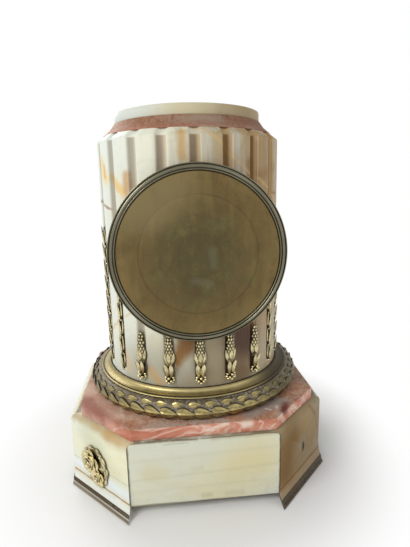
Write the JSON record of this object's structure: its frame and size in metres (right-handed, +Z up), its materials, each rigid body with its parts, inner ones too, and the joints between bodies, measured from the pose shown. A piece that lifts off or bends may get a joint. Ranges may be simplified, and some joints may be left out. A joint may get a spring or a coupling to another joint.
{
  "type": "column clock",
  "caption": "Mantel clock in a fluted onyx column on an octagonal stone plinth, with gilt drops and wreath, a hinged glazed bezel, a pull-off rear cover and a pendulum movement.",
  "frame": {"origin": "on the ground, under the centre of the column and the plinth", "axes": "+Z up; the dial faces -Y and the round rear cover faces +Y"},
  "size_m": [0.2128, 0.2154, 0.2956],
  "materials": {
    "onyx": "polished cream onyx with honey and brown veins",
    "pink_marble": "honed pink marble with pale veins",
    "gilt_bronze": "gilt cast bronze, dark in the recesses",
    "dark_bronze": "dark brown patinated bronze",
    "old_brass": "turned brass with an olive brown patina",
    "brass": "lacquered brass",
    "steel": "polished steel",
    "blued_steel": "blued steel",
    "bell_metal": "pale turned bell metal",
    "enamel": "white vitreous enamel",
    "glass": "clear flat glass"
  },
  "bodies": {
    "case": {"plinth_back_panel": "onyx", "plinth_left_panel": "onyx", "plinth_front_panel": "onyx", "plinth_right_panel": "onyx", "corner_block_back_left": "onyx", "corner_block_front_left": "onyx", "corner_block_front_right": "onyx", "corner_block_back_right": "onyx", "foot_strip_back_left": "dark_bronze", "foot_strip_front_left": "dark_bronze", "foot_strip_front_right": "dark_bronze", "foot_strip_back_right": "dark_bronze", "rose_mount_back_left": "gilt_bronze", "rose_mount_front_left": "gilt_bronze", "rose_mount_front_right": "gilt_bronze", "marble_slab": "pink_marble", "base_ring": "gilt_bronze", "laurel_wreath": "gilt_bronze", "column_shaft": "onyx", "marble_ring": "pink_marble", "top_disc": "onyx", "short_drop_01": "gilt_bronze", "short_drop_02": "gilt_bronze", "short_drop_03": "gilt_bronze", "tall_drop_04": "gilt_bronze", "tall_drop_05": "gilt_bronze", "tall_drop_06": "gilt_bronze", "tall_drop_07": "gilt_bronze", "tall_drop_08": "gilt_bronze", "short_drop_09": "gilt_bronze", "short_drop_10": "gilt_bronze", "short_drop_11": "gilt_bronze", "short_drop_12": "gilt_bronze", "short_drop_13": "gilt_bronze", "tall_drop_14": "gilt_bronze", "tall_drop_15": "gilt_bronze", "tall_drop_16": "gilt_bronze", "tall_drop_17": "gilt_bronze", "tall_drop_18": "gilt_bronze", "short_drop_19": "gilt_bronze", "short_drop_20": "gilt_bronze", "rear_collar": "brass", "front_collar": "brass", "dial": "enamel", "movement_front_plate": "brass", "movement_back_plate": "brass", "bell": "bell_metal"},
    "rear_cover": {"rear_cover": "old_brass"},
    "bezel_door": {"front_bezel": "brass", "front_glass": "glass"},
    "hour_hand": {"hour_hand": "blued_steel"},
    "minute_hand": {"minute_hand": "blued_steel"},
    "strike_barrel": {"strike_barrel": "brass"},
    "going_barrel": {"going_barrel": "brass"},
    "centre_wheel": {"centre_wheel": "brass"},
    "third_wheel": {"third_wheel": "brass"},
    "escape_wheel": {"escape_wheel": "brass"},
    "anchor": {"anchor": "steel"},
    "pendulum": {"pendulum": "brass"},
    "hammer": {"hammer": "steel"}
  },
  "joints": [
    {"name": "rear_cover_pull", "type": "slide", "parent": "case", "child": "rear_cover", "axis": [0, 1, 0], "range_m": [0, 0.016]},
    {"name": "bezel_hinge", "type": "hinge", "parent": "case", "child": "bezel_door", "pos_m": [-0.0646, -0.0777, 0.1916], "axis": [0, 0, -1], "range_deg": [0, 110]},
    {"name": "centre_wheel_spin", "type": "hinge", "parent": "case", "child": "centre_wheel", "pos_m": [0, 0, 0.1916], "axis": [0, 1, 0], "continuous": true},
    {"name": "minute_hand_spin", "type": "hinge", "parent": "case", "child": "minute_hand", "pos_m": [0, 0, 0.1916], "axis": [0, 1, 0], "continuous": true},
    {"name": "hour_hand_spin", "type": "hinge", "parent": "case", "child": "hour_hand", "pos_m": [0, 0, 0.1916], "axis": [0, 1, 0], "continuous": true},
    {"name": "third_wheel_spin", "type": "hinge", "parent": "case", "child": "third_wheel", "pos_m": [0.00764, 0, 0.20402], "axis": [0, 1, 0], "continuous": true},
    {"name": "escape_wheel_spin", "type": "hinge", "parent": "case", "child": "escape_wheel", "pos_m": [0, 0, 0.21212], "axis": [0, 1, 0], "continuous": true},
    {"name": "going_barrel_spin", "type": "hinge", "parent": "case", "child": "going_barrel", "pos_m": [0.02208, 0, 0.18194], "axis": [0, 1, 0], "continuous": true},
    {"name": "strike_barrel_spin", "type": "hinge", "parent": "case", "child": "strike_barrel", "pos_m": [-0.02208, 0, 0.18194], "axis": [0, 1, 0], "continuous": true},
    {"name": "pendulum_swing", "type": "hinge", "parent": "case", "child": "pendulum", "pos_m": [0, -0.014, 0.23162], "axis": [0, 1, 0], "range_deg": [-4, 4]},
    {"name": "anchor_rock", "type": "hinge", "parent": "case", "child": "anchor", "pos_m": [0, 0, 0.22458], "axis": [0, 1, 0], "range_deg": [-5.2, 5.2]},
    {"name": "hammer_lift", "type": "hinge", "parent": "case", "child": "hammer", "pos_m": [0.038, 0, 0.20356], "axis": [0, -1, 0], "range_deg": [0, 12], "stiffness_Nm_per_rad": 0.01, "springref_deg": -8.59}
  ],
  "couplings": [
    {"joint": "minute_hand_spin", "follows": "centre_wheel_spin", "ratio": 1},
    {"joint": "hour_hand_spin", "follows": "centre_wheel_spin", "ratio": 0.083333},
    {"joint": "third_wheel_spin", "follows": "centre_wheel_spin", "ratio": -6},
    {"joint": "escape_wheel_spin", "follows": "centre_wheel_spin", "ratio": 32},
    {"joint": "going_barrel_spin", "follows": "centre_wheel_spin", "ratio": -0.14286},
    {"joint": "anchor_rock", "follows": "pendulum_swing", "ratio": 1.28}
  ]
}
